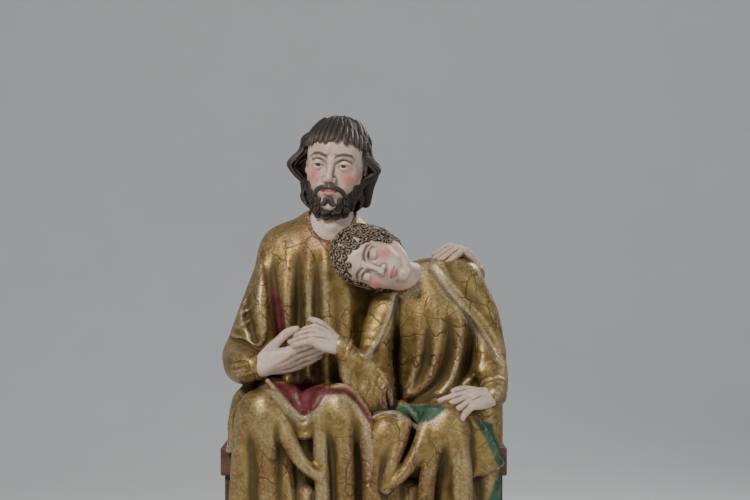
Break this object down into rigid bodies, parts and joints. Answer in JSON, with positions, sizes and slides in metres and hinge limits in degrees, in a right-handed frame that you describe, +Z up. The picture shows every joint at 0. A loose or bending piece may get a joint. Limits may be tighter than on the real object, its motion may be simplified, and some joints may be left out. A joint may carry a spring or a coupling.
{
  "type": "carved figure group",
  "caption": "Seated bearded man and sleeping youth in long robes on a bench with a low base, carved wood, gilded and painted.",
  "frame": {"origin": "on the floor under the middle of the base's underside", "axes": "+Z up, +X to the right of a viewer in front of the figures, who face -Y"},
  "size_m": [0.74, 0.49, 1.411],
  "materials": {
    "gilded_robe": "carved wood with aged water gilding, worn to red-brown on the ridges and finely cracked",
    "painted_flesh": "carved wood painted a pale aged flesh colour, eggshell sheen",
    "dark_hair": "carved wood painted very dark brown, greyed on the ridges",
    "grey_brown_curls": "carved wood painted grey-brown, paler on the curls' tops",
    "bench_wood": "old reddish-brown wood, dull, with open grain",
    "base_wood": "old brown wood, dull, with open grain"
  },
  "bodies": {
    "root": {"seated_group": "gilded_robe", "bench": "bench_wood", "base": "base_wood"}
  },
  "joints": []
}
